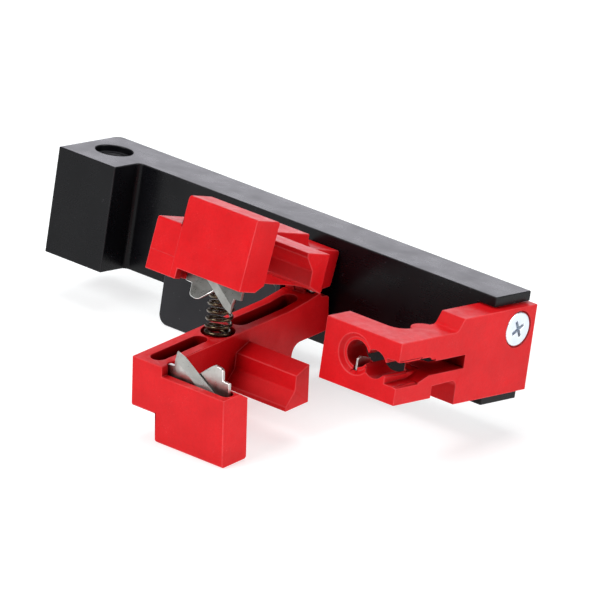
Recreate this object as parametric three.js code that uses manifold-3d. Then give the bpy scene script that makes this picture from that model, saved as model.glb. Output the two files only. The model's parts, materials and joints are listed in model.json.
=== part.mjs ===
// Hand-held rotary cable stripping tool: a crank bar with a pair of sprung
// blade jaws pivoted on a bracket, and a notched cable clamp in its forked end.
// Millimetres. Drawn in the bar's own frame: X runs along the bar from the grip
// block, Y points to the bar's back, Z points up, and the bar's front face is Y = 0.
// A last group tips the whole tool about X, so that it rests on the bracket's
// lower edge and on the lower blade block, as it does when laid on a bench.
import * as THREE from 'three';
import { mergeVertices } from 'three/addons/utils/BufferGeometryUtils.js';
import Module from 'manifold-3d';

// ---------------------------------------------------------------- bar
const BAR_LENGTH = 147.6;
const BAR_HEIGHT = 30;
const BAR_DEPTH = 14.5;
const GRIP_BLOCK_LENGTH = 20.5;
const GRIP_BLOCK_FRONT = -10.2;
const GRIP_HOLE_X = 9.2;
const GRIP_HOLE_Y = 2.1;
const GRIP_HOLE_R = 5.2;
const HANDLE_THREAD_R = 4;
const FORK_WALL = 2.8;
const FORK_FLOOR_X = 141.4;

// ---------------------------------------------------------------- general fits
const GAP = 0.3;
const PLATE = 1.5;

// ---------------------------------------------------------------- hinge and bracket
const HINGE_Y = -5.8;
const HINGE_Z = 15.7;
const OPEN_ANGLE = THREE.MathUtils.degToRad(9.8);
const PIN_R = 1.25;
const PIN_BORE_R = 1.5;
const BRACKET_LEFT = 36;
const BRACKET_BOTTOM = -10.6;
const BRACKET_TOP = 18;
const BRACKET_EAR_TOP = 24;
const BRACKET_STEP = 70;
const EAR_REACH = 9.6;
const SCREW_SPOTS = [[44, 13.5], [66, 13.5], [55, 8.5]];

// ---------------------------------------------------------------- jaws
// Jaw shapes are drawn for the upper jaw when shut: `reach` is the distance in
// front of the hinge and `rise` the distance from the plane where the jaws meet.
const SPINE_LEFT = 82.8;
const SPINE_RIGHT = 93.3;
const SPINE_INNER = 1.55;
const SPINE_OUTER = 15.9;
const JAW_REACH = 62.8;
const JAW_REAR = -3.7;
const BLOCK_LEFT = 91.35;
const BLOCK_RIGHT = 115.15;
const BLOCK_BACK = 53.2;
const BLOCK_INNER = 4.4;
const BLOCK_OUTER = 23.85;
const GUIDE_RIGHT = 114.6;
const KNUCKLE_R = 2.6;
const SEAT_REACH = 34.9;
const SEAT_R = 4.6;
const SEAT_DEPTH = 2.5;

// ---------------------------------------------------------------- blades
const BLADE_THICKNESS = 1;
const FRONT_BLADE_REACH = 59.25;
const BACK_BLADE_REACH = 57.95;
const BLADE_ROOT = 18;
const BLADE_SCREW_RISE = 13;
const GROUND_WIDTH = 2.7;
const GROUND_LAND = 0.12;

// ---------------------------------------------------------------- cable clamp
const CLAMP_RIGHT = 150;
const CLAMP_LEFT = 141.8;
const CLAMP_FRONT = -40.2;
const CLAMP_BLOCK_FRONT = -15;
const CLAMP_BOTTOM = 6.3;
const CLAMP_TOP = 23.5;
const ARM_LEFT = 124;
const ARM_BACK = -31;
const MAIN_HOLE = { x: 134.9, z: 16.1, r: 3.6 };
const NOTCH_ONE = { x: 141.8, z: 15.4, r: 3.8 };
const NOTCH_TWO = { x: 148.4, z: 16.7, r: 1.7 };
const CLAMP_SCREW_Y = 8.3;
const CLAMP_SCREW_Z = 20.8;
const CLAMP_BLADE_LEFT = 134.6;
const CLAMP_BLADE_RIGHT = 135.2;
const CLAMP_BLADE_Y = -36.2;
const CLAMP_BLADE_SCREW_Z = 9.5;
const CROSS_TURN = THREE.MathUtils.degToRad(27);

const wasm = await Module();
wasm.setup();

// ---------------------------------------------------------------- materials
const anodised = { color: 0x1c1b1f, roughness: 0.42, metalness: 0.55 };
const blackSteel = { color: 0x26252a, roughness: 0.5, metalness: 0.6 };
const redPlastic = { color: 0xe21420, roughness: 0.42, metalness: 0 };
const bladeSteel = { color: 0xc9cac6, roughness: 0.25, metalness: 1 };
const zincSteel = { color: 0xc4c9d2, roughness: 0.35, metalness: 1 };
const springSteel = { color: 0x1a1a1c, roughness: 0.3, metalness: 0.9 };

// ---------------------------------------------------------------- solids
function toSolid(geometry) {
  const bare = geometry.clone();
  bare.deleteAttribute('normal');
  bare.deleteAttribute('uv');
  const merged = mergeVertices(bare, 1e-4);
  return new wasm.Manifold(new wasm.Mesh({
    numProp: 3,
    vertProperties: new Float32Array(merged.attributes.position.array),
    triVerts: new Uint32Array(merged.index.array),
  }));
}

function toGeometry(solid) {
  const mesh = solid.getMesh();
  const geometry = new THREE.BufferGeometry();
  geometry.setAttribute('position', new THREE.BufferAttribute(mesh.vertProperties, 3));
  geometry.setIndex(new THREE.BufferAttribute(mesh.triVerts, 1));
  return geometry;
}

const join = (first, ...others) => others.reduce((sum, other) => sum.add(other), first);
const cut = (body, ...tools) => tools.reduce((rest, tool) => rest.subtract(tool), body);

// A closed outline through [u, v, radius] corners, each rounded to its radius.
function outline(corners) {
  const shape = new THREE.Shape();
  const count = corners.length;
  corners.forEach(([u, v, radius = 0], index) => {
    const corner = new THREE.Vector2(u, v);
    const before = corners[(index + count - 1) % count];
    const after = corners[(index + 1) % count];
    const back = new THREE.Vector2(before[0], before[1]).sub(corner).normalize();
    const ahead = new THREE.Vector2(after[0], after[1]).sub(corner).normalize();
    const half = Math.acos(THREE.MathUtils.clamp(back.dot(ahead), -1, 1)) / 2;
    const run = radius / Math.tan(half);
    const start = corner.clone().addScaledVector(back, run);
    const end = corner.clone().addScaledVector(ahead, run);
    if (index === 0) shape.moveTo(start.x, start.y);
    else shape.lineTo(start.x, start.y);
    if (radius === 0) return;
    const bisector = back.clone().add(ahead).normalize();
    const centre = corner.clone().addScaledVector(bisector, radius / Math.sin(half));
    const from = Math.atan2(start.y - centre.y, start.x - centre.x);
    const to = Math.atan2(end.y - centre.y, end.x - centre.x);
    const turn = back.x * ahead.y - back.y * ahead.x;
    shape.absarc(centre.x, centre.y, radius, from, to, turn > 0);
  });
  shape.closePath();
  return shape;
}

const rectangle = (u0, v0, u1, v1, radius = 0) =>
  outline([[u0, v0, radius], [u1, v0, radius], [u1, v1, radius], [u0, v1, radius]]);

function circle(u, v, radius) {
  const shape = new THREE.Shape();
  shape.absarc(u, v, radius, 0, Math.PI * 2, false);
  return shape;
}

function hexagon(u, v, radius) {
  const corners = [];
  for (let corner = 0; corner < 6; corner += 1) {
    const angle = (corner * Math.PI) / 3;
    corners.push([u + radius * Math.cos(angle), v + radius * Math.sin(angle)]);
  }
  return outline(corners);
}

// A shape pushed along one axis: X takes (y, z) shapes, Y (x, z), Z (x, y).
function prism(axis, shape, from, to, curveSegments = 8) {
  const depth = to - from;
  const geometry = new THREE.ExtrudeGeometry(shape, { depth, bevelEnabled: false, curveSegments });
  const places = {
    X: new THREE.Matrix4().set(0, 0, 1, from, 1, 0, 0, 0, 0, 1, 0, 0, 0, 0, 0, 1),
    Y: new THREE.Matrix4().set(1, 0, 0, 0, 0, 0, -1, to, 0, 1, 0, 0, 0, 0, 0, 1),
    Z: new THREE.Matrix4().makeTranslation(0, 0, from),
  };
  return toSolid(geometry.applyMatrix4(places[axis]));
}

const rod = (axis, u, v, radius, from, to, sides = 32) =>
  prism(axis, circle(u, v, radius), from, to, sides);

// A turned solid about an X-parallel axis through (y, z): profile is [x, radius].
function turned(profile, y, z, sides = 32) {
  const points = profile.map(([x, radius]) => new THREE.Vector2(radius, x));
  const geometry = new THREE.LatheGeometry(points, sides);
  geometry.rotateZ(-Math.PI / 2);
  geometry.translate(0, y, z);
  return toSolid(geometry);
}

const tool = new THREE.Group();

function addPart(parent, name, solid, finish) {
  const mesh = new THREE.Mesh(toGeometry(solid), new THREE.MeshStandardMaterial(finish));
  mesh.name = name;
  parent.add(mesh);
  return mesh;
}

// ---------------------------------------------------------------- crank bar
function makeBar() {
  const plan = outline([
    [0, GRIP_BLOCK_FRONT],
    [GRIP_BLOCK_LENGTH, GRIP_BLOCK_FRONT],
    [GRIP_BLOCK_LENGTH, 0, 1.6],
    [BAR_LENGTH, 0],
    [BAR_LENGTH, BAR_DEPTH],
    [0, BAR_DEPTH, 2],
  ]);
  const fork = rectangle(FORK_FLOOR_X, FORK_WALL, BAR_LENGTH + 2, BAR_HEIGHT - FORK_WALL);
  const clampScrewHole = rod('X', CLAMP_SCREW_Y, CLAMP_SCREW_Z, 2.8, FORK_FLOOR_X - 14, BAR_LENGTH, 12);
  const bracketHoles = SCREW_SPOTS.map(([x, z]) => rod('Y', x, z, 1.8, -1, 9, 6));
  return cut(
    prism('Z', plan, 0, BAR_HEIGHT),
    rod('Z', GRIP_HOLE_X, GRIP_HOLE_Y, GRIP_HOLE_R, -1, BAR_HEIGHT + 1, 48),
    prism('Y', fork, -1, BAR_DEPTH + 1),
    clampScrewHole,
    ...bracketHoles,
  );
}

// The threaded insert that a crank handle screws into.
function makeHandleInsert() {
  const top = BAR_HEIGHT - 1.6;
  const sleeve = rod('Z', GRIP_HOLE_X, GRIP_HOLE_Y, GRIP_HOLE_R - GAP, 1.6, top, 24);
  return cut(sleeve, rod('Z', GRIP_HOLE_X, GRIP_HOLE_Y, HANDLE_THREAD_R, 0, BAR_HEIGHT, 24));
}

// ---------------------------------------------------------------- pivot bracket
const EAR_RIGHT = SPINE_LEFT - 0.4;
const EAR_LEFT = EAR_RIGHT - PLATE;

function makeBracket() {
  const face = outline([
    [BRACKET_LEFT, BRACKET_BOTTOM, 3],
    [EAR_RIGHT, BRACKET_BOTTOM, 3],
    [EAR_RIGHT, BRACKET_EAR_TOP, 1],
    [BRACKET_STEP, BRACKET_EAR_TOP, 1],
    [BRACKET_STEP - (BRACKET_EAR_TOP - BRACKET_TOP), BRACKET_TOP, 1],
    [BRACKET_LEFT, BRACKET_TOP, 1],
  ]);
  const ear = outline([
    [-GAP, HINGE_Z - 6.5],
    [-EAR_REACH, HINGE_Z - 4, 2.5],
    [-EAR_REACH, HINGE_Z + 4, 2.5],
    [-GAP, HINGE_Z + 6.5],
  ]);
  const holes = SCREW_SPOTS.map(([x, z]) => rod('Y', x, z, 1.8, -PLATE - 1, 0, 6));
  return cut(
    join(prism('Y', face, -GAP - PLATE, -GAP), prism('X', ear, EAR_LEFT, EAR_RIGHT)),
    rod('X', HINGE_Y, HINGE_Z, PIN_BORE_R, EAR_LEFT - 1, EAR_RIGHT + 1, 12),
    ...holes,
  );
}

function makeBracketScrew([x, z]) {
  const headBack = -GAP - PLATE - GAP;
  const head = rod('Y', x, z, 2.8, headBack - 1.9, headBack, 24);
  const shank = rod('Y', x, z, 1.5, headBack - 0.2, 8, 8);
  const slotOutline = rectangle(x - 1.7, z - 0.35, x + 1.7, z + 0.35);
  const slotAcross = prism('Y', slotOutline, headBack - 3, headBack - 0.9);
  const slotUp = prism('Y', rectangle(x - 0.35, z - 1.7, x + 0.35, z + 1.7), headBack - 3, headBack - 0.9);
  return cut(join(head, shank), slotAcross, slotUp);
}

// The pin carries both jaws; its clip and washer sit on the bracket's outer side.
const CLIP_GROOVE_LEFT = EAR_LEFT - 2.4;
const CLIP_GROOVE_RIGHT = CLIP_GROOVE_LEFT + 1;
const PIN_RIGHT = SPINE_RIGHT - 1.8;

function makeHingePin() {
  const left = CLIP_GROOVE_LEFT - 0.9;
  return turned([
    [left, 0],
    [left, PIN_R - 0.3],
    [left + 0.3, PIN_R],
    [CLIP_GROOVE_LEFT, PIN_R],
    [CLIP_GROOVE_LEFT, PIN_R - 0.35],
    [CLIP_GROOVE_RIGHT, PIN_R - 0.35],
    [CLIP_GROOVE_RIGHT, PIN_R],
    [PIN_RIGHT - 0.3, PIN_R],
    [PIN_RIGHT, PIN_R - 0.3],
    [PIN_RIGHT, 0],
  ], HINGE_Y, HINGE_Z, 24);
}

function makeHingeClip() {
  const left = CLIP_GROOVE_LEFT + 0.25;
  const right = CLIP_GROOVE_RIGHT - 0.25;
  return cut(
    rod('X', HINGE_Y, HINGE_Z, 2.8, left, right, 24),
    rod('X', HINGE_Y, HINGE_Z, PIN_R - 0.1, left - 1, right + 1, 12),
    prism('X', rectangle(HINGE_Y - 0.8, HINGE_Z - 4, HINGE_Y + 0.8, HINGE_Z), left - 1, right + 1),
  );
}

function makeHingeWasher() {
  const right = EAR_LEFT - GAP;
  const left = right - 0.8;
  return cut(
    rod('X', HINGE_Y, HINGE_Z, 3.3, left, right, 24),
    rod('X', HINGE_Y, HINGE_Z, PIN_BORE_R + 0.05, left - 1, right + 1, 12),
  );
}

// ---------------------------------------------------------------- jaws
// `side` is +1 for the upper jaw and -1 for the lower one, its mirror image.
const SPINE_MIDDLE = (SPINE_LEFT + SPINE_RIGHT) / 2;
const BLOCK_MIDDLE = (BLOCK_LEFT + BLOCK_RIGHT) / 2;
const jawShape = (side, corners) => outline(corners.map(([reach, rise, r]) => [-reach, side * rise, r]));

function makeJaw(side) {
  const spine = jawShape(side, [
    [JAW_REACH, SPINE_INNER],
    [JAW_REACH, SPINE_OUTER, 0.8],
    [11, SPINE_OUTER],
    [10.2, 11.9, 3.4],
    [JAW_REAR, 11.9, 0.8],
    [JAW_REAR, 2, 1],
    [-0.5, 1.1],
    [-0.5, 0.15],
    [0.5, 0.15],
    [5.2, 0.9, 3],
    [11.7, SPINE_INNER, 3],
  ]);
  const block = jawShape(side, [
    [JAW_REACH, BLOCK_INNER],
    [JAW_REACH, BLOCK_OUTER, 0.8],
    [BLOCK_BACK, BLOCK_OUTER, 0.8],
    [BLOCK_BACK, BLOCK_INNER + 2],
    [BLOCK_BACK + 3.1, BLOCK_INNER],
  ]);
  const guide = jawShape(side, [
    [37.4, SPINE_OUTER],
    [37.3, 14.6],
    [33.8, 11.1, 1.5],
    [33.3, 6.8],
    [28.1, 5],
    [28.3, SPINE_OUTER],
  ]);
  const across = (lowRise, highRise) => (side > 0 ? [lowRise, highRise] : [-highRise, -lowRise]);
  const pocket = (reach0, reach1, width, depth) => {
    const left = SPINE_MIDDLE - width / 2;
    const right = SPINE_MIDDLE + width / 2;
    const plan = rectangle(left, -reach1, right, -reach0, width / 2 - 0.01);
    return prism('Z', plan, ...across(-1, SPINE_INNER + depth));
  };
  const bladeSlot = rectangle(BLOCK_MIDDLE - 10.95, -60.5, BLOCK_MIDDLE + 10.95, -56.9, 1.6);
  const knuckleLeft = SPINE_LEFT + 0.2;
  const knuckleLength = 3.2;
  const ownLeft = side > 0 ? knuckleLeft : knuckleLeft + knuckleLength + GAP;
  const otherLeft = side > 0 ? knuckleLeft + knuckleLength + GAP : knuckleLeft;
  const knuckle = rod('X', 0, 0, KNUCKLE_R, ownLeft, ownLeft + knuckleLength, 24);
  const body = join(
    prism('X', spine, SPINE_LEFT, SPINE_RIGHT),
    prism('X', block, BLOCK_LEFT, BLOCK_RIGHT),
    prism('X', guide, SPINE_RIGHT - 0.5, GUIDE_RIGHT),
  );
  const cleared = cut(
    body,
    rod('X', 0, 0, KNUCKLE_R + GAP, otherLeft - GAP, otherLeft + knuckleLength + GAP, 24),
  );
  return cut(
    join(cleared, knuckle),
    rod('X', 0, 0, PIN_BORE_R, SPINE_LEFT - 1, PIN_RIGHT + GAP, 12),
    pocket(40.2, 60.4, 4.6, 3.5),
    pocket(4.5, 28.6, 5, 4),
    rod('Z', SPINE_MIDDLE, -SEAT_REACH, SEAT_R, ...across(-1, SPINE_INNER + SEAT_DEPTH), 32),
    prism('Z', bladeSlot, ...across(0, BLADE_ROOT + GAP)),
    rod('Y', BLOCK_MIDDLE, side * BLADE_SCREW_RISE, 1.8, -BLOCK_BACK - 4.5, -BLOCK_BACK + 1, 16),
  );
}

// ---------------------------------------------------------------- blades
// Outlines are [across, rise] from the block's middle. The upper jaw's blades are
// the lower jaw's turned half a turn about Y, so `side` mirrors both coordinates.
const TOOTH_BLADE = [
  [-10.4, BLADE_ROOT],
  [-10.4, 1.75],
  [-8.25, 1.6],
  [-7.8, -2.65],
  [-4.9, -1.5, 2],
  [9.9, 8.75],
  [9.9, BLADE_ROOT],
];
const LOBE_BLADE = [
  [9.7, BLADE_ROOT],
  [9.7, 1.5],
  [7.5, 1.4],
  [7.4, -1.9, 1],
  [4.6, -2.4, 2.5],
  [-1.2, 2.2, 2],
  [-10, 8.9],
  [-10, BLADE_ROOT],
];

function makeBlade(side, corners, reach) {
  const shape = outline(corners.map(([across, rise, r]) => [BLOCK_MIDDLE - side * across, side * rise, r]));
  return prism('Y', shape, -reach - BLADE_THICKNESS / 2, -reach + BLADE_THICKNESS / 2, 6);
}

// The tooth blade is ground from the front along its long slanted edge: the wedge
// taken off is GROUND_WIDTH wide and leaves GROUND_LAND of thickness at the edge.
function makeToothBlade(side) {
  const front = -FRONT_BLADE_REACH - BLADE_THICKNESS / 2;
  const [tip, heel] = [TOOTH_BLADE[4], TOOTH_BLADE[5]]
    .map(([across, rise]) => new THREE.Vector3(BLOCK_MIDDLE - side * across, 0, side * rise));
  const along = tip.clone().sub(heel).normalize();
  const backward = new THREE.Vector3(0, 1, 0);
  const outward = backward.clone().cross(along);
  const overrun = 8;
  const slope = (BLADE_THICKNESS - GROUND_LAND) / GROUND_WIDTH;
  const section = outline([
    [-GROUND_WIDTH - 1, front - slope],
    [1, front - slope],
    [1, front + slope * (GROUND_WIDTH + 1)],
  ]);
  const depth = tip.distanceTo(heel) + 2 * overrun;
  const start = heel.clone().addScaledVector(along, -overrun);
  const place = new THREE.Matrix4().makeBasis(outward, backward, along).setPosition(start);
  const wedge = new THREE.ExtrudeGeometry(section, { depth, bevelEnabled: false });
  return cut(makeBlade(side, TOOTH_BLADE, FRONT_BLADE_REACH), toSolid(wedge.applyMatrix4(place)));
}

function makeBladeScrew(side) {
  const z = side * BLADE_SCREW_RISE;
  const tip = -BACK_BLADE_REACH + BLADE_THICKNESS / 2 + GAP;
  const end = -BLOCK_BACK - 0.3;
  const socket = hexagon(BLOCK_MIDDLE, z, 0.85);
  return cut(rod('Y', BLOCK_MIDDLE, z, 1.5, tip, end, 16), prism('Y', socket, end - 1.6, end + 1));
}

// ---------------------------------------------------------------- spring
// The seats swing towards the bar as the jaws open, so the spring stands midway
// between the places of their centres when open and when shut.
function makeSpring() {
  const halfLength = 9;
  const openReach = SEAT_REACH * Math.cos(OPEN_ANGLE) - (SPINE_INNER + SEAT_DEPTH) * Math.sin(OPEN_ANGLE);
  const y = HINGE_Y - (openReach + SEAT_REACH) / 2;
  const tube = rod('Z', SPINE_MIDDLE, y, 3.7, HINGE_Z - halfLength, HINGE_Z + halfLength, 16);
  return cut(tube, rod('Z', SPINE_MIDDLE, y, 2.7, HINGE_Z - halfLength - 1, HINGE_Z + halfLength + 1, 16));
}

// ---------------------------------------------------------------- cable clamp
function makeClamp() {
  const side = outline([
    [BAR_DEPTH + 0.5, BAR_HEIGHT - FORK_WALL - GAP],
    [CLAMP_BLOCK_FRONT, BAR_HEIGHT - FORK_WALL - GAP],
    [CLAMP_BLOCK_FRONT - 2.2, CLAMP_TOP, 1.8],
    [CLAMP_FRONT, CLAMP_TOP],
    [CLAMP_FRONT, CLAMP_BOTTOM],
    [-34, CLAMP_BOTTOM, 0.8],
    [-27, 9.6],
    [CLAMP_BLOCK_FRONT - 0.1, 10, 1.8],
    [CLAMP_BLOCK_FRONT, FORK_WALL + GAP],
    [BAR_DEPTH + 0.5, FORK_WALL + GAP],
  ]);
  const arm = outline([
    [ARM_LEFT, CLAMP_FRONT],
    [CLAMP_RIGHT, CLAMP_FRONT],
    [CLAMP_RIGHT, ARM_BACK + 6],
    [CLAMP_LEFT, ARM_BACK + 6],
    [CLAMP_LEFT, ARM_BACK, 4.5],
    [ARM_LEFT, ARM_BACK],
  ]);
  const lowLip = outline([
    [144, 14],
    [147.2, 12.4],
    [149.2, 11.1],
    [153, 11],
    [153, 18.4],
    [149.9, 18.4],
    [149.3, 16.9],
    [144, 16.9],
  ]);
  const mouthSide = outline([
    [CLAMP_FRONT - 2, 11.2],
    [-31.2, 11.5],
    [-27, 13],
    [-12.8, 13],
    [-12.8, 16.6],
    [-26.4, 16.6],
    [-27.4, 18, 1],
    [-31, 18, 1],
    [-32.4, 17.4],
    [CLAMP_FRONT - 2, 18.4],
  ]);
  const bladePocket = rectangle(CLAMP_BLADE_Y - 2.9, CLAMP_BOTTOM - 1, CLAMP_BLADE_Y + 2.9, MAIN_HOLE.z);
  const slit = rectangle(MAIN_HOLE.x, 15, CLAMP_RIGHT + 1, 16.4);
  const sideSlotPlan = rectangle(138, 13, CLAMP_RIGHT + 1, 16.6);
  const sideArm = prism('X', side, CLAMP_LEFT, CLAMP_RIGHT);
  const frontArm = prism('Z', arm, CLAMP_BOTTOM, CLAMP_TOP);
  const boss = rod('Z', CLAMP_LEFT + 0.6, -21.6, 4, 10.4, CLAMP_TOP - 0.5, 32);
  const bossTrim = prism('Y', rectangle(CLAMP_LEFT + 0.5, 9, CLAMP_RIGHT, CLAMP_TOP), -27, -17);
  const sink = new THREE.LatheGeometry([
    new THREE.Vector2(0, -1),
    new THREE.Vector2(5.6, -1),
    new THREE.Vector2(5.6, 0),
    new THREE.Vector2(4.5, 1.1),
    new THREE.Vector2(0, 1.1),
  ], 48);
  sink.translate(MAIN_HOLE.x, CLAMP_FRONT, MAIN_HOLE.z);
  const screwSink = turned([
    [CLAMP_RIGHT - 3.2, 0],
    [CLAMP_RIGHT - 3.2, 2.9],
    [CLAMP_RIGHT - 0.4, 5.1],
    [CLAMP_RIGHT + 1, 5.1],
    [CLAMP_RIGHT + 1, 0],
  ], CLAMP_SCREW_Y, CLAMP_SCREW_Z, 48);
  return cut(
    join(sideArm, frontArm, boss.subtract(bossTrim)),
    rod('Y', MAIN_HOLE.x, MAIN_HOLE.z, MAIN_HOLE.r, CLAMP_FRONT - 1, ARM_BACK + 1, 48),
    rod('Y', NOTCH_ONE.x, NOTCH_ONE.z, NOTCH_ONE.r, CLAMP_FRONT - 1, ARM_BACK + 6, 40),
    rod('Y', NOTCH_TWO.x, NOTCH_TWO.z, NOTCH_TWO.r, CLAMP_FRONT - 1, ARM_BACK + 6, 24),
    prism('Y', slit, CLAMP_FRONT - 1, ARM_BACK + 6),
    prism('Y', lowLip, CLAMP_FRONT - 1, ARM_BACK),
    prism('X', mouthSide, CLAMP_LEFT + 4, CLAMP_RIGHT + 1),
    prism('Y', sideSlotPlan, ARM_BACK, -12.8),
    toSolid(sink),
    screwSink,
    rod('X', CLAMP_SCREW_Y, CLAMP_SCREW_Z, 2.8, CLAMP_LEFT - 1, CLAMP_RIGHT, 24),
    prism('X', bladePocket, CLAMP_BLADE_LEFT - GAP, CLAMP_BLADE_RIGHT + GAP),
    rod('X', CLAMP_BLADE_Y, CLAMP_BLADE_SCREW_Z, 1.5, ARM_LEFT - 1, CLAMP_BLADE_LEFT, 16),
  );
}

function makeClampScrew() {
  const body = turned([
    [FORK_FLOOR_X - 12, 0],
    [FORK_FLOOR_X - 12, 1.9],
    [FORK_FLOOR_X - 11.2, 2.5],
    [CLAMP_RIGHT - 2.9, 2.5],
    [CLAMP_RIGHT - 0.7, 4.75],
    [CLAMP_RIGHT - 0.3, 4.75],
    [CLAMP_RIGHT - 0.1, 4.4],
    [CLAMP_RIGHT - 0.1, 0],
  ], CLAMP_SCREW_Y, CLAMP_SCREW_Z, 48);
  return cut(body, crossWing(0), crossWing(Math.PI / 2));
}

// One of the two crossing wings of the screw's recess, narrowing towards its floor.
function crossWing(turn) {
  const mouth = 2.5;
  const floor = 0.9;
  const depth = 2.1;
  const halfWidth = 0.48;
  const taper = (mouth - floor) / depth;
  const section = outline([
    [-depth, -floor],
    [1, -mouth - taper],
    [1, mouth + taper],
    [-depth, floor],
  ]);
  const wing = new THREE.ExtrudeGeometry(section, { depth: 2 * halfWidth, bevelEnabled: false });
  wing.translate(0, 0, -halfWidth);
  wing.rotateX(CROSS_TURN + turn);
  wing.translate(CLAMP_RIGHT - 0.1, CLAMP_SCREW_Y, CLAMP_SCREW_Z);
  return toSolid(wing);
}

// The slitting blade stands on edge below the main hole, in line with the cable.
function makeClampBlade() {
  const shape = outline([
    [CLAMP_BLADE_Y - 2.6, CLAMP_BOTTOM + 1],
    [CLAMP_BLADE_Y + 2.6, CLAMP_BOTTOM + 1],
    [CLAMP_BLADE_Y + 2.6, 14.2],
    [CLAMP_BLADE_Y - 1.6, 15.3],
    [CLAMP_BLADE_Y - 2.6, 14.6],
  ]);
  return prism('X', shape, CLAMP_BLADE_LEFT, CLAMP_BLADE_RIGHT, 4);
}

function makeClampBladeScrew() {
  const right = CLAMP_BLADE_LEFT - GAP;
  const left = right - 7;
  const body = rod('X', CLAMP_BLADE_Y, CLAMP_BLADE_SCREW_Z, 1.2, left, right, 16);
  return cut(body, prism('X', hexagon(CLAMP_BLADE_Y, CLAMP_BLADE_SCREW_Z, 0.75), left - 1, left + 1.4));
}

// ---------------------------------------------------------------- assembly
addPart(tool, 'crank_bar', makeBar(), anodised);
addPart(tool, 'handle_insert', makeHandleInsert(), blackSteel);
addPart(tool, 'pivot_bracket', makeBracket(), blackSteel);
SCREW_SPOTS.forEach((spot, index) => {
  addPart(tool, `bracket_screw_${index + 1}`, makeBracketScrew(spot), zincSteel);
});
addPart(tool, 'hinge_pin', makeHingePin(), bladeSteel);
addPart(tool, 'hinge_clip', makeHingeClip(), springSteel);
addPart(tool, 'hinge_washer', makeHingeWasher(), blackSteel);
addPart(tool, 'jaw_spring', makeSpring(), springSteel);

for (const [word, side] of [['upper', 1], ['lower', -1]]) {
  const jaw = new THREE.Group();
  jaw.position.set(0, HINGE_Y, HINGE_Z);
  jaw.rotation.x = -side * OPEN_ANGLE;
  addPart(jaw, `${word}_jaw`, makeJaw(side), redPlastic);
  addPart(jaw, `${word}_tooth_blade`, makeToothBlade(side), bladeSteel);
  addPart(jaw, `${word}_lobe_blade`, makeBlade(side, LOBE_BLADE, BACK_BLADE_REACH), bladeSteel);
  addPart(jaw, `${word}_blade_screw`, makeBladeScrew(side), zincSteel);
  tool.add(jaw);
}

addPart(tool, 'cable_clamp', makeClamp(), redPlastic);
addPart(tool, 'clamp_screw', makeClampScrew(), zincSteel);
addPart(tool, 'clamp_blade', makeClampBlade(), bladeSteel);
addPart(tool, 'clamp_blade_screw', makeClampBladeScrew(), zincSteel);

// ---------------------------------------------------------------- resting pose
// The tool leans until the front bottom edge of the lower blade block is level
// with the bracket's lower edge; the row's origin is under the middle of its box.
const blockEdge = new THREE.Vector3(0, -JAW_REACH, -BLOCK_OUTER)
  .applyAxisAngle(new THREE.Vector3(1, 0, 0), OPEN_ANGLE)
  .add(new THREE.Vector3(0, HINGE_Y, HINGE_Z));
const bracketEdgeY = -GAP - PLATE;
const lean = Math.atan2(BRACKET_BOTTOM - blockEdge.z, bracketEdgeY - blockEdge.y);
tool.rotation.x = -lean;

const part = new THREE.Group();
part.add(tool);
part.updateMatrixWorld(true);
const box = new THREE.Box3().setFromObject(part, true);
const middle = box.getCenter(new THREE.Vector3());
tool.position.set(-middle.x, -middle.y, -box.min.z);

export default part;
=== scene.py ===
import json
import math
from itertools import combinations

import bmesh
import bpy
from mathutils import Matrix, Quaternion, Vector


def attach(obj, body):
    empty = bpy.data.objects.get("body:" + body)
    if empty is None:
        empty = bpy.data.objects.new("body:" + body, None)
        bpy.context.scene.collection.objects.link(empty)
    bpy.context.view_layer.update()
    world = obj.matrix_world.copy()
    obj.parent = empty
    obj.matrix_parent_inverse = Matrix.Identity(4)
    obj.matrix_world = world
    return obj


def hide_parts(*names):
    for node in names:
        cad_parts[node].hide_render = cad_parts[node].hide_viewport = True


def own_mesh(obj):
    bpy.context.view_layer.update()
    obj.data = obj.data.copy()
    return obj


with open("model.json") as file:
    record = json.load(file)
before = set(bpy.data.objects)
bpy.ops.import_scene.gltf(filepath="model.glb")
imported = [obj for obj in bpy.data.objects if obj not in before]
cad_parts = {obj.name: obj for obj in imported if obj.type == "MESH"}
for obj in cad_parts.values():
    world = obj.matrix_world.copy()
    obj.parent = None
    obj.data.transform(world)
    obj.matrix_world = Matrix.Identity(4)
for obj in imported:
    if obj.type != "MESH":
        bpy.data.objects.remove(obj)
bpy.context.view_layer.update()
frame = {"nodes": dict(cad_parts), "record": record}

MM = 0.001

# ---------------------------------------------------------------- the tool's own axes
mount_axes = {mount["name"]: Vector(mount["axis"]) for mount in frame["record"]["mounts"]}
along = Vector((1, 0, 0))
back = mount_axes["bar_back_face"].normalized()
up = mount_axes["handle_face"].normalized()
own_to_row = Matrix((along, back, up)).transposed()


def span(node, axis):
    """Lowest and highest reach of a CAD node along one of the tool's own axes."""
    reaches = [vertex.co.dot(axis) for vertex in frame["nodes"][node].data.vertices]
    return min(reaches), max(reaches)


def middle(node, axis):
    """Halfway point of a CAD node along one of the tool's own axes."""
    low, high = span(node, axis)
    return (low + high) / 2


def in_row(place):
    """A point given in the tool's own axes, in the row frame."""
    return own_to_row @ Vector(place)


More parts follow.
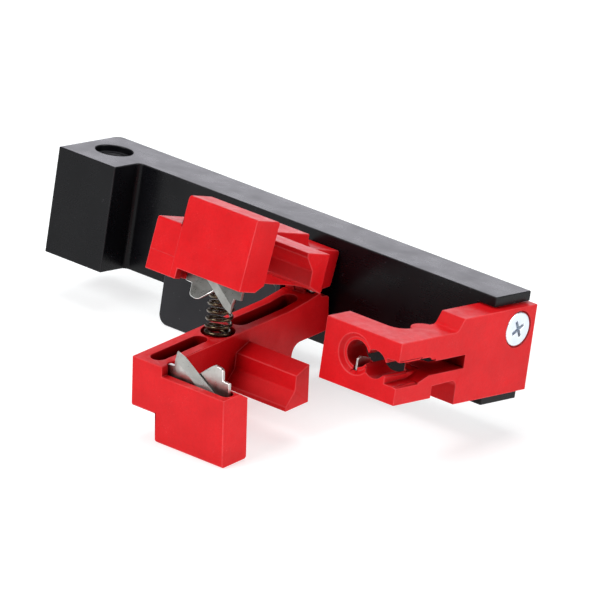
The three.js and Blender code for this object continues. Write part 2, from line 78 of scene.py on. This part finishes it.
# ---------------------------------------------------------------- material kit
class Finish:
    """A procedural material. Its patterns are read in object space, so they ride along."""

    def __init__(self, name, **constants):
        self.material = bpy.data.materials.new(name)
        self.material.use_nodes = True
        self.tree = self.material.node_tree
        self.shader = self.tree.nodes["Principled BSDF"]
        for socket, value in constants.items():
            self.shader.inputs[socket.replace("_", " ")].default_value = value
        self.place = self.add("ShaderNodeTexCoord").outputs["Object"]

    def add(self, kind, inputs=None, **settings):
        """A new node, with sockets linked or set and its own settings."""
        node = self.tree.nodes.new(kind)
        for key, value in settings.items():
            setattr(node, key, value)
        for key, value in (inputs or {}).items():
            if isinstance(value, bpy.types.NodeSocket):
                self.tree.links.new(value, node.inputs[key])
            else:
                node.inputs[key].default_value = value
        return node

    def noise(self, size, detail=3.0, stretch=(1, 1, 1), turn=0.0, shift=0.0):
        """Noise with features about `size` across, drawn out along the stretched axes."""
        squeeze = [1 / factor for factor in stretch]
        placed = self.add(
            "ShaderNodeMapping",
            {"Vector": self.place, "Rotation": (turn, turn, turn), "Location": (shift,) * 3},
        ).outputs["Vector"]
        drawn = self.add("ShaderNodeMapping", {"Vector": placed, "Scale": squeeze}).outputs["Vector"]
        texture = self.add("ShaderNodeTexNoise", {"Vector": drawn, "Scale": 1 / size, "Detail": detail})
        return texture.outputs["Fac"]

    def clouds(self, size, shift=0.0, to_low=0.0, to_high=1.0):
        """Soft patches about `size` across, running between two values."""
        return self.spread(self.noise(size, 4, shift=shift), 0.3, 0.7, to_low, to_high)

    def spread(self, value, low, high, to_low=0.0, to_high=1.0):
        """Maps value from low..high to to_low..to_high, held at both ends."""
        limits = {"From Min": low, "From Max": high, "To Min": to_low, "To Max": to_high}
        return self.add("ShaderNodeMapRange", {"Value": value, **limits}).outputs["Result"]

    def blend(self, factor, first, second):
        """First colour where factor is 0 and second where it is 1."""
        node = self.add("ShaderNodeMix", data_type="RGBA")
        for socket, value in zip((node.inputs[0], node.inputs[6], node.inputs[7]), (factor, first, second)):
            if isinstance(value, bpy.types.NodeSocket):
                self.tree.links.new(value, socket)
            elif isinstance(value, (int, float)):
                socket.default_value = value
            else:
                socket.default_value = (*value, 1)
        return node.outputs[2]

    def total(self, first, second, operation="ADD"):
        """Two values joined by a sum or by another plain operation."""
        node = self.add("ShaderNodeMath", operation=operation)
        for socket, value in zip(node.inputs, (first, second)):
            if isinstance(value, bpy.types.NodeSocket):
                self.tree.links.new(value, socket)
            else:
                socket.default_value = value
        return node.outputs["Value"]

    def reach(self, axis):
        """How far each point lies along an axis, in metres."""
        return self.add(
            "ShaderNodeVectorMath", {0: self.place, 1: tuple(axis)}, operation="DOT_PRODUCT"
        ).outputs["Value"]

    def line(self, axis, place, width):
        """1 on a thin flat line round the piece, at `place` along the axis."""
        distance = self.total(self.total(self.reach(axis), place, "SUBTRACT"), 0, "ABSOLUTE")
        return self.spread(distance, width * 0.5, width, 1, 0)

    def openness(self, reach):
        """Ambient occlusion: 1 on open faces, falling to 0 deep in a recess of the same piece. It drives
        painted shade.
        """
        node = self.add("ShaderNodeAmbientOcclusion", {"Distance": reach}, samples=8, only_local=True)
        return node.outputs["AO"]

    def relief(self, height, depth, strength=1.0):
        """Raises the surface by up to `depth` where height is 1. Reliefs add up."""
        inputs = {"Height": height, "Distance": depth, "Strength": strength}
        normal = self.shader.inputs["Normal"]
        if normal.is_linked:
            inputs["Normal"] = normal.links[0].from_socket
        bump = self.add("ShaderNodeBump", inputs)
        self.tree.links.new(bump.outputs["Normal"], normal)

    def drive(self, socket, value):
        """Links a value to one of the shader's sockets."""
        self.tree.links.new(value, self.shader.inputs[socket])


# ---------------------------------------------------------------- finishes
NYLON_GLOSS = 1.26
# How far the painted recess shade looks, and how dark it gets.
RECESS_REACH = 18 * MM
PAINTED_SHADE_SHARE = 0.2
SPECK_SHARE = 0.75
SEAM_WIDTH = 0.11 * MM


def red_plastic(name, deep, light, rub, seams=(), shelter=(0.3, 0.95)):
    """Moulded nylon: clouded red, fine satin grain, hairline scuffs and mould seams.

    Each seam is an axis, a place along it and where it ends along the bar. Faces deep in the piece's own
    recesses get painted shade: a darker red and less reflection. `shelter` says how open a face is
    when the painted shade starts to lift and when it is gone.
    """
    finish = Finish(name, IOR=NYLON_GLOSS)
    clouds = finish.clouds(9 * MM)
    specks = finish.spread(finish.noise(0.7 * MM, 3, shift=3), 0.45, 0.7)
    scuffs_one = finish.noise(0.22 * MM, 1, stretch=(34, 1, 1), turn=0.5)
    scuffs_two = finish.noise(0.22 * MM, 1, stretch=(1, 1, 34), turn=-0.4, shift=7)
    worn_patches = finish.spread(finish.noise(6 * MM, 3, shift=11), 0.48, 0.68)
    lines = finish.total(finish.spread(scuffs_one, 0.66, 0.78), finish.spread(scuffs_two, 0.66, 0.78))
    scuffs = finish.total(lines, worn_patches, "MULTIPLY")
    colour = finish.blend(clouds, deep, light)
    speck = [channel * SPECK_SHARE for channel in deep]
    colour = finish.blend(finish.total(specks, 0.22, "MULTIPLY"), colour, speck)
    colour = finish.blend(finish.total(scuffs, 0.5, "MULTIPLY"), colour, rub)
    for axis, place, end in seams:
        before_end = finish.spread(finish.reach(along), end, end + SEAM_WIDTH, 1, 0)
        seam = finish.total(finish.line(axis, place, SEAM_WIDTH), before_end, "MULTIPLY")
        colour = finish.blend(finish.total(seam, 0.3, "MULTIPLY"), colour, rub)
        finish.relief(seam, 0.05 * MM)
    open_face = finish.openness(RECESS_REACH)
    closed, clear = shelter
    # Painted shade: recesses of the piece turn a deep dark red and lose their reflection.
    recess = [channel * PAINTED_SHADE_SHARE for channel in deep]
    lit = finish.spread(open_face, closed, clear)
    finish.drive("Base Color", finish.blend(lit, recess, colour))
    finish.drive("Specular IOR Level", finish.spread(open_face, closed + 0.1, clear, 0, 0.5))
    finish.drive("Roughness", finish.clouds(2.5 * MM, 5, 0.36, 0.52))
    finish.relief(finish.noise(0.3 * MM, 2), 0.03 * MM, 0.7)
    finish.relief(finish.noise(2 * MM, 3, shift=2), 0.08 * MM, 0.6)
    finish.relief(scuffs, 0.02 * MM, 0.5)
    return finish.material


def black_metal(name, deep, light, bare_and_glint, lines, smooth, rough, grain=0.12, gloss=1.26, tint=(1, 1, 1)):
    """Dyed or blackened metal: a fine grain, `lines` times as long as wide, and a few nicks. On the spring
    the warm nicks are also painted glints.
    """
    finish = Finish(name, IOR=gloss, Specular_Tint=(*tint, 1))
    clouds = finish.clouds(14 * MM)
    drawn = finish.noise(0.3 * MM, 2, stretch=(lines, 1, 1))
    nicks = finish.spread(finish.noise(0.8 * MM, 3, shift=9), 0.72, 0.76)
    colour = finish.blend(clouds, deep, light)
    colour = finish.blend(finish.spread(drawn, 0.55, 0.75, 0, 0.2), colour, light)
    colour = finish.blend(nicks, colour, bare_and_glint)
    finish.drive("Base Color", colour)
    haze = finish.clouds(7 * MM, 4, smooth, rough)
    finish.drive("Roughness", finish.total(haze, finish.spread(drawn, 0.3, 0.7, -0.02, 0.02)))
    finish.relief(drawn, 0.012 * MM, grain)
    finish.relief(finish.noise(0.25 * MM, 2, shift=6), 0.01 * MM, grain)
    return finish.material


def bright_metal(name, deep, light, smooth, rough, stretch, grain, stain=None):
    """Ground or plated metal: a directional grain, clouded tone and faint stains."""
    finish = Finish(name, Metallic=1)
    clouds = finish.clouds(4 * MM)
    ground = finish.noise(0.16 * MM, 3, stretch=stretch)
    colour = finish.blend(clouds, deep, light)
    colour = finish.blend(finish.spread(ground, 0.35, 0.7, 0, 0.4), colour, deep)
    if stain:
        stained = finish.spread(finish.noise(3 * MM, 4, shift=8), 0.55, 0.8, 0, 0.3)
        colour = finish.blend(stained, colour, stain)
    finish.drive("Base Color", colour)
    haze = finish.clouds(2 * MM, 4, smooth, rough)
    finish.drive("Roughness", finish.total(haze, finish.spread(ground, 0.3, 0.7, -0.05, 0.05)))
    finish.relief(ground, 0.01 * MM, grain)
    return finish.material


RED_DEEP = (0.56, 0.003, 0.006)
RED_LIGHT = (0.66, 0.005, 0.009)
RED_RUB = (0.72, 0.07, 0.075)
UPRIGHT_GRAIN = (1, 1, 14)
EVEN_GRAIN = (1, 1, 1)
WARM_OIL = (1, 0.76, 0.46)
OIL_GLOSS = 1.8
# Each slot has a face finish and a finish for its rounded edges. The edge finishes are lighter than the
# faces: partly wear, partly a painted highlight along the edges.
finishes = {
    "anodised_aluminium": (
        black_metal("black_anodising", (0.002, 0.002, 0.003), (0.004, 0.004, 0.005),
                    (0.03, 0.03, 0.034), lines=25, smooth=0.24, rough=0.34, grain=0.03),
        black_metal("anodising_at_edges", (0.008, 0.008, 0.009), (0.02, 0.02, 0.022),
                    (0.2, 0.2, 0.21), lines=12, smooth=0.22, rough=0.36),
    ),
    "black_steel": (
        black_metal("blackened_steel", (0.014, 0.014, 0.016), (0.02, 0.02, 0.023),
                    (0.08, 0.08, 0.085), lines=5, smooth=0.4, rough=0.55, grain=0.5),
        black_metal("blackened_steel_edges", (0.03, 0.03, 0.033), (0.06, 0.06, 0.065),
                    (0.25, 0.25, 0.25), lines=5, smooth=0.3, rough=0.45, grain=0.5),
    ),
    "red_plastic": (
        red_plastic("red_nylon", RED_DEEP, RED_LIGHT, RED_RUB),
        red_plastic("red_nylon_edges", (0.6, 0.02, 0.024), (0.74, 0.055, 0.06), (0.85, 0.17, 0.17)),
    ),
    "blade_steel": (
        bright_metal("blade_flat", (0.42, 0.41, 0.39), (0.58, 0.575, 0.55), smooth=0.28, rough=0.36,
                     stretch=UPRIGHT_GRAIN, grain=0.35, stain=(0.3, 0.28, 0.22)),
        bright_metal("blade_edge", (0.8, 0.8, 0.79), (0.95, 0.95, 0.94), smooth=0.25, rough=0.35,
                     stretch=UPRIGHT_GRAIN, grain=0.2),
    ),
    "zinc_steel": (
        bright_metal("zinc_plate", (0.66, 0.71, 0.78), (0.8, 0.85, 0.92), smooth=0.3, rough=0.42,
                     stretch=EVEN_GRAIN, grain=0.3, stain=(0.5, 0.55, 0.6)),
        bright_metal("zinc_plate_edges", (0.75, 0.79, 0.84), (0.9, 0.93, 0.97), smooth=0.25,
                     rough=0.35, stretch=EVEN_GRAIN, grain=0.3),
    ),
    "spring_steel": (
        # The spring's warm bare spots are nicks and painted golden glints.
        black_metal("oiled_spring", (0.006, 0.005, 0.004), (0.014, 0.01, 0.007),
                    (0.2, 0.14, 0.07), lines=1, smooth=0.24, rough=0.34, gloss=OIL_GLOSS, tint=WARM_OIL),
        black_metal("oiled_spring_edges", (0.02, 0.018, 0.016), (0.04, 0.035, 0.03),
                    (0.2, 0.14, 0.07), lines=1, smooth=0.24, rough=0.34, gloss=OIL_GLOSS, tint=WARM_OIL),
    ),
}
ground_bevel = bright_metal("blade_ground_bevel", (0.93, 0.93, 0.93), (0.99, 0.99, 0.99), smooth=0.36,
                            rough=0.44, stretch=UPRIGHT_GRAIN, grain=0.3)
# A darker copy of blade_flat for the upper blades' flats: painted shade. Its stains are the steel's own.
shaded_blade_flat = bright_metal("blade_flat_painted_shade", (0.24, 0.235, 0.22), (0.36, 0.355, 0.34), smooth=0.28,
                         rough=0.36, stretch=UPRIGHT_GRAIN, grain=0.35, stain=(0.18, 0.17, 0.13))

# The upper jaw's mould seams: one across the spine's front, one down the block's left corner.
SPINE_SEAM_RISE = 38.6 * MM
BLOCK_SEAM_PLACE = 16.48 * MM
BLOCK_SEAM_END = 2 * BLOCK_SEAM_PLACE
jaw_opening = math.radians(frame["record"]["behaviour"]["joints"][0]["range_deg"][1])
jaw_up = Quaternion(along, -jaw_opening) @ up
jaw_seams = ((jaw_up, SPINE_SEAM_RISE, BLOCK_SEAM_PLACE), (along, BLOCK_SEAM_PLACE, BLOCK_SEAM_END))
seamed_red = red_plastic("red_nylon_seamed", RED_DEEP, RED_LIGHT, RED_RUB, seams=jaw_seams)
# The clamp's painted recess shade is lighter: it sets in only in more closed hollows.
clamp_red = red_plastic("red_nylon_clamp", RED_DEEP, RED_LIGHT, RED_RUB, shelter=(0.1, 0.7))

# Nodes whose faces differ from their slot's usual finish. The upper blades' flats take a copy of blade_flat
# darkened with painted shade.
OWN_FACES = {
    "upper_jaw": seamed_red,
    "cable_clamp": clamp_red,
    "upper_tooth_blade": shaded_blade_flat,
    "upper_lobe_blade": shaded_blade_flat,
}

slot_of = {node: solid.data.materials[0].name for node, solid in frame["nodes"].items()}

# ---------------------------------------------------------------- rounded pieces
WELD = 0.5e-6
FLAT = math.radians(0.2)
SHARP = math.radians(28)
TIGHT = math.radians(35)
EDGE_STEPS = 3
EDGE_WIDTHS = {
    "crank_bar": 0.3 * MM,
    "pivot_bracket": 0.2 * MM,
    "upper_jaw": 0.22 * MM,
    "lower_jaw": 0.22 * MM,
    "cable_clamp": 0.22 * MM,
    "upper_tooth_blade": 0.05 * MM,
    "lower_tooth_blade": 0.05 * MM,
    "upper_lobe_blade": 0.14 * MM,
    "lower_lobe_blade": 0.14 * MM,
}
FINE_EDGE = 0.08 * MM
FACE_PLACE = 0
EDGE_PLACE = 1
GROUND_PLACE = 2
# A face is part of the ground bevel when the cosine of its angle to the blade's flat is between these.
LEAST_GROUND_COSINE = 0.9
MOST_GROUND_COSINE = 0.98


def dress(piece, node, body):
    """Hides the CAD node that a piece stands for and puts the piece on a body."""
    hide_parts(node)
    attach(piece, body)
    return piece


def add_piece(name, mesh, materials):
    data = bpy.data.meshes.new(name)
    mesh.to_mesh(data)
    mesh.free()
    for attribute in ("custom_normal", "sharp_edge"):
        if attribute in data.attributes:
            data.attributes.remove(data.attributes[attribute])
    data.materials.clear()
    for material in materials:
        data.materials.append(material)
    piece = bpy.data.objects.new(name, data)
    bpy.context.scene.collection.objects.link(piece)
    return piece


def roundable_edges(mesh):
    """Sharp edges whose both ends leave the rounding room to finish cleanly."""
    sharp = [edge for edge in mesh.edges if len(edge.link_faces) == 2 and edge.calc_face_angle() > SHARP]
    meeting = {}
    for edge in sharp:
        for vertex in edge.verts:
            meeting.setdefault(vertex, []).append(edge)
    crowded = set()
    for vertex, edges in meeting.items():
        away = [edge.other_vert(vertex).co - vertex.co for edge in edges]
        tight = any(first.angle(second) < TIGHT for first, second in combinations(away, 2))
        if len(edges) == 1 or len(edges) > 3 or tight:
            crowded.add(vertex)
    return [edge for edge in sharp if not crowded.intersection(edge.verts)]


def rounded(node):
    """The CAD solid with its sharp edges rounded over.

    A tooth blade's ground bevel leans slightly from its flat. It stays flat-shaded, with its
    own finish, so that the ridge between the two shows.
    """
    mesh = bmesh.new()
    mesh.from_mesh(frame["nodes"][node].data)
    bmesh.ops.remove_doubles(mesh, verts=mesh.verts, dist=WELD)
    bmesh.ops.dissolve_limit(mesh, angle_limit=FLAT, verts=mesh.verts, edges=mesh.edges)
    bmesh.ops.triangulate(mesh, faces=mesh.faces, quad_method="BEAUTY", ngon_method="BEAUTY")
    weight = mesh.edges.layers.float.new("bevel_weight_edge")
    for edge in roundable_edges(mesh):
        edge[weight] = 1
    face_finish, edge_finish = finishes[slot_of[node]]
    face_finish = OWN_FACES.get(node, face_finish)
    if "tooth_blade" in node:
        edge_finish = face_finish
    blade_flat = max(mesh.faces, key=lambda face: face.calc_area()).normal.copy()
    for face in mesh.faces:
        cosine = abs(face.normal.dot(blade_flat))
        ground = "tooth_blade" in node and LEAST_GROUND_COSINE < cosine < MOST_GROUND_COSINE
        face.smooth = not ground
        face.material_index = GROUND_PLACE if ground else FACE_PLACE
    piece = add_piece(node + "_rounded", mesh, (face_finish, edge_finish, ground_bevel))
    bevel = piece.modifiers.new("soft edges", "BEVEL")
    bevel.width = EDGE_WIDTHS.get(node, FINE_EDGE)
    bevel.segments = EDGE_STEPS
    bevel.limit_method = "WEIGHT"
    bevel.use_clamp_overlap = False
    bevel.loop_slide = False
    # The rounded edges take the lighter edge finish: wear and a painted edge highlight.
    bevel.material = EDGE_PLACE
    piece.modifiers.new("flat faces", "WEIGHTED_NORMAL").keep_sharp = True
    return piece


# ---------------------------------------------------------------- jaw spring
WIRE_RADIUS = 0.53 * MM
WIRE_SIDES = 12
STEPS_PER_TURN = 32
END_TURNS = 1.1
WORKING_TURNS = 7
CLOSED_SHARE = 0.42
FLAT_END_SHARE = 0.7
EASING_TURNS = 0.6


def make_spring():
    """A wire helix with closed end turns, standing between the two jaws."""
    low, high = span("jaw_spring", up)
    left, right = span("jaw_spring", along)
    radius = (right - left) / 2 - WIRE_RADIUS
    centre = Vector((middle("jaw_spring", along), middle("jaw_spring", back), (low + high) / 2))
    turns = WORKING_TURNS + 2 * END_TURNS
    steps = round(turns * STEPS_PER_TURN)
    rises = [0.0]
    for step in range(steps):
        from_end = min(step + 0.5, steps - step - 0.5) / STEPS_PER_TURN
        opening = min(max(from_end - END_TURNS * FLAT_END_SHARE, 0) / EASING_TURNS, 1)
        opening = opening * opening * (3 - 2 * opening)
        rises.append(rises[-1] + CLOSED_SHARE + (1 - CLOSED_SHARE) * opening)
    height = high - low - 2 * WIRE_RADIUS
    mesh = bmesh.new()
    rings = []
    for step, rise in enumerate(rises):
        angle = step / STEPS_PER_TURN * math.tau
        outward = Vector((math.cos(angle), math.sin(angle), 0))
        point = centre + outward * radius + Vector((0, 0, (rise / rises[-1] - 0.5) * height))
        ring = []
        for side in range(WIRE_SIDES):
            turn = side / WIRE_SIDES * math.tau
            offset = outward * math.cos(turn) + Vector((0, 0, math.sin(turn)))
            ring.append(mesh.verts.new(in_row(point + offset * WIRE_RADIUS)))
        rings.append(ring)
    for ring, following in zip(rings, rings[1:]):
        for side in range(WIRE_SIDES):
            after = (side + 1) % WIRE_SIDES
            mesh.faces.new((ring[side], ring[after], following[after], following[side]))
    mesh.faces.new(rings[0])
    mesh.faces.new(reversed(rings[-1]))
    bmesh.ops.recalc_face_normals(mesh, faces=mesh.faces)
    for face in mesh.faces:
        face.smooth = True
    piece = add_piece("jaw_spring_wire", mesh, finishes["spring_steel"])
    dress(piece, "jaw_spring", "bar")
    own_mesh(piece)
    return piece


# ---------------------------------------------------------------- handle thread
THREAD_PITCH = 1.25 * MM
THREAD_DEPTH = 0.6 * MM
THREAD_ROWS = 8
SLEEVE_SIDES = 48
SLEEVE_WALL = 0.9 * MM
MOUTH = 0.8 * MM


def make_threaded_sleeve():
    """The sleeve that the crank handle screws into: a true helical thread inside."""
    low, high = span("handle_insert", up)
    left, right = span("handle_insert", along)
    outer = (right - left) / 2
    bore = outer - SLEEVE_WALL
    centre_x = middle("handle_insert", along)
    centre_y = middle("handle_insert", back)
    rows = round((high - low) / THREAD_PITCH * THREAD_ROWS)

    def circle_at(height, radius_at):
        ring = []
        for side in range(SLEEVE_SIDES):
            angle = side / SLEEVE_SIDES * math.tau
            radius = radius_at(angle)
            place = (centre_x + radius * math.cos(angle), centre_y + radius * math.sin(angle), height)
            ring.append(mesh.verts.new(in_row(place)))
        return ring

    mesh = bmesh.new()
    rings = [circle_at(low, lambda angle: outer), circle_at(high, lambda angle: outer)]
    for row in range(rows, -1, -1):
        height = low + (high - low) * row / rows
        fade = min(min(height - low, high - height) / MOUTH, 1)

        def thread_radius(angle, height=height, fade=fade):
            phase = (height / THREAD_PITCH - angle / math.tau) % 1
            crest = min(max(2 - abs(phase - 0.5) * 6, 0), 1)
            return bore - THREAD_DEPTH * crest * fade

        rings.append(circle_at(height, thread_radius))
    for ring, following in zip(rings, rings[1:] + rings[:1]):
        for side in range(SLEEVE_SIDES):
            after = (side + 1) % SLEEVE_SIDES
            mesh.faces.new((ring[side], ring[after], following[after], following[side]))
    bmesh.ops.recalc_face_normals(mesh, faces=mesh.faces)
    piece = add_piece("handle_thread", mesh, finishes[slot_of["handle_insert"]])
    return dress(piece, "handle_insert", "bar")


# ---------------------------------------------------------------- all pieces
OWN_SHAPES = {"jaw_spring": make_spring, "handle_insert": make_threaded_sleeve}
for body, nodes in frame["record"]["behaviour"]["bodies"].items():
    for node in nodes:
        if node in OWN_SHAPES:
            OWN_SHAPES[node]()
        else:
            dress(rounded(node), node, body)

# ---------------------------------------------------------------- floor
FLOOR_HALF = 4.0
FLOOR_GLOW = 0.64
floor_mesh = bmesh.new()
bmesh.ops.create_grid(floor_mesh, x_segments=2, y_segments=2, size=FLOOR_HALF)
paper = Finish("pale_paper", IOR=1.4)
paper.drive("Base Color", paper.blend(paper.noise(60 * MM, 3), (0.48, 0.5, 0.505), (0.5, 0.52, 0.52)))
paper.shader.inputs["Roughness"].default_value = 0.75
paper.shader.inputs["Emission Color"].default_value = (1, 1, 1, 1)
paper.shader.inputs["Emission Strength"].default_value = FLOOR_GLOW
floor = add_piece("floor", floor_mesh, (paper.material,))

# ---------------------------------------------------------------- studio light
# The sky is dim near the horizon and brightens upwards.
SKY_RANGE = {"From Min": 0.05, "From Max": 0.42, "To Min": 0.3, "To Max": 1.5}
world = bpy.data.worlds.new("studio")
world.use_nodes = True
sky = world.node_tree.nodes
facing = sky.new("ShaderNodeTexCoord").outputs["Generated"]
height = sky.new("ShaderNodeSeparateXYZ")
fade = sky.new("ShaderNodeMapRange")
for socket, value in SKY_RANGE.items():
    fade.inputs[socket].default_value = value
world.node_tree.links.new(facing, height.inputs["Vector"])
world.node_tree.links.new(height.outputs["Z"], fade.inputs["Value"])
world.node_tree.links.new(fade.outputs["Result"], sky["Background"].inputs["Strength"])
bpy.context.scene.world = world
bpy.context.scene.view_settings.view_transform = "Standard"


def softbox(name, place, size, power, colour=(1, 1, 1)):
    """A square soft light that faces the tool."""
    light = bpy.data.lights.new(name, "AREA")
    light.size = size
    light.energy = power
    light.color = colour
    lamp = bpy.data.objects.new(name, light)
    lamp.location = place
    lamp.rotation_mode = "QUATERNION"
    lamp.rotation_quaternion = (-Vector(place)).to_track_quat("-Z", "Y")
    bpy.context.scene.collection.objects.link(lamp)
    return lamp


softbox("key", (-0.35, -1.4, 1.1), size=0.9, power=27)
softbox("side", (1.62, 0.47, 0.5), size=0.9, power=19)
softbox("overhead", (-0.3, 0.3, 1.7), size=1.2, power=18)
softbox("sheen", (-1.1, 1.43, 0.36), size=1.0, power=8, colour=(0.93, 0.92, 1))

# ---------------------------------------------------------------- camera
VIEW_TURN = math.radians(40.106)
VIEW_RISE = math.radians(22.057)
VIEW_ROLL = math.radians(3.443)
VIEW_DISTANCE = 2.6591
VIEW_CENTRE = Vector((18.49, 11.89, 27.06)) * MM
LENS = 600
SENSOR_WIDTH = 36
camera_data = bpy.data.cameras.new("camera")
camera_data.lens = LENS
camera_data.sensor_width = SENSOR_WIDTH
camera = bpy.data.objects.new("camera", camera_data)
towards_camera = Vector((
    math.sin(VIEW_TURN) * math.cos(VIEW_RISE),
    -math.cos(VIEW_TURN) * math.cos(VIEW_RISE),
    math.sin(VIEW_RISE),
))
camera.location = VIEW_CENTRE + towards_camera * VIEW_DISTANCE
camera.rotation_mode = "QUATERNION"
level = (-towards_camera).to_track_quat("-Z", "Y")
camera.rotation_quaternion = level @ Quaternion((0, 0, 1), VIEW_ROLL)
bpy.context.scene.collection.objects.link(camera)
bpy.context.scene.camera = camera
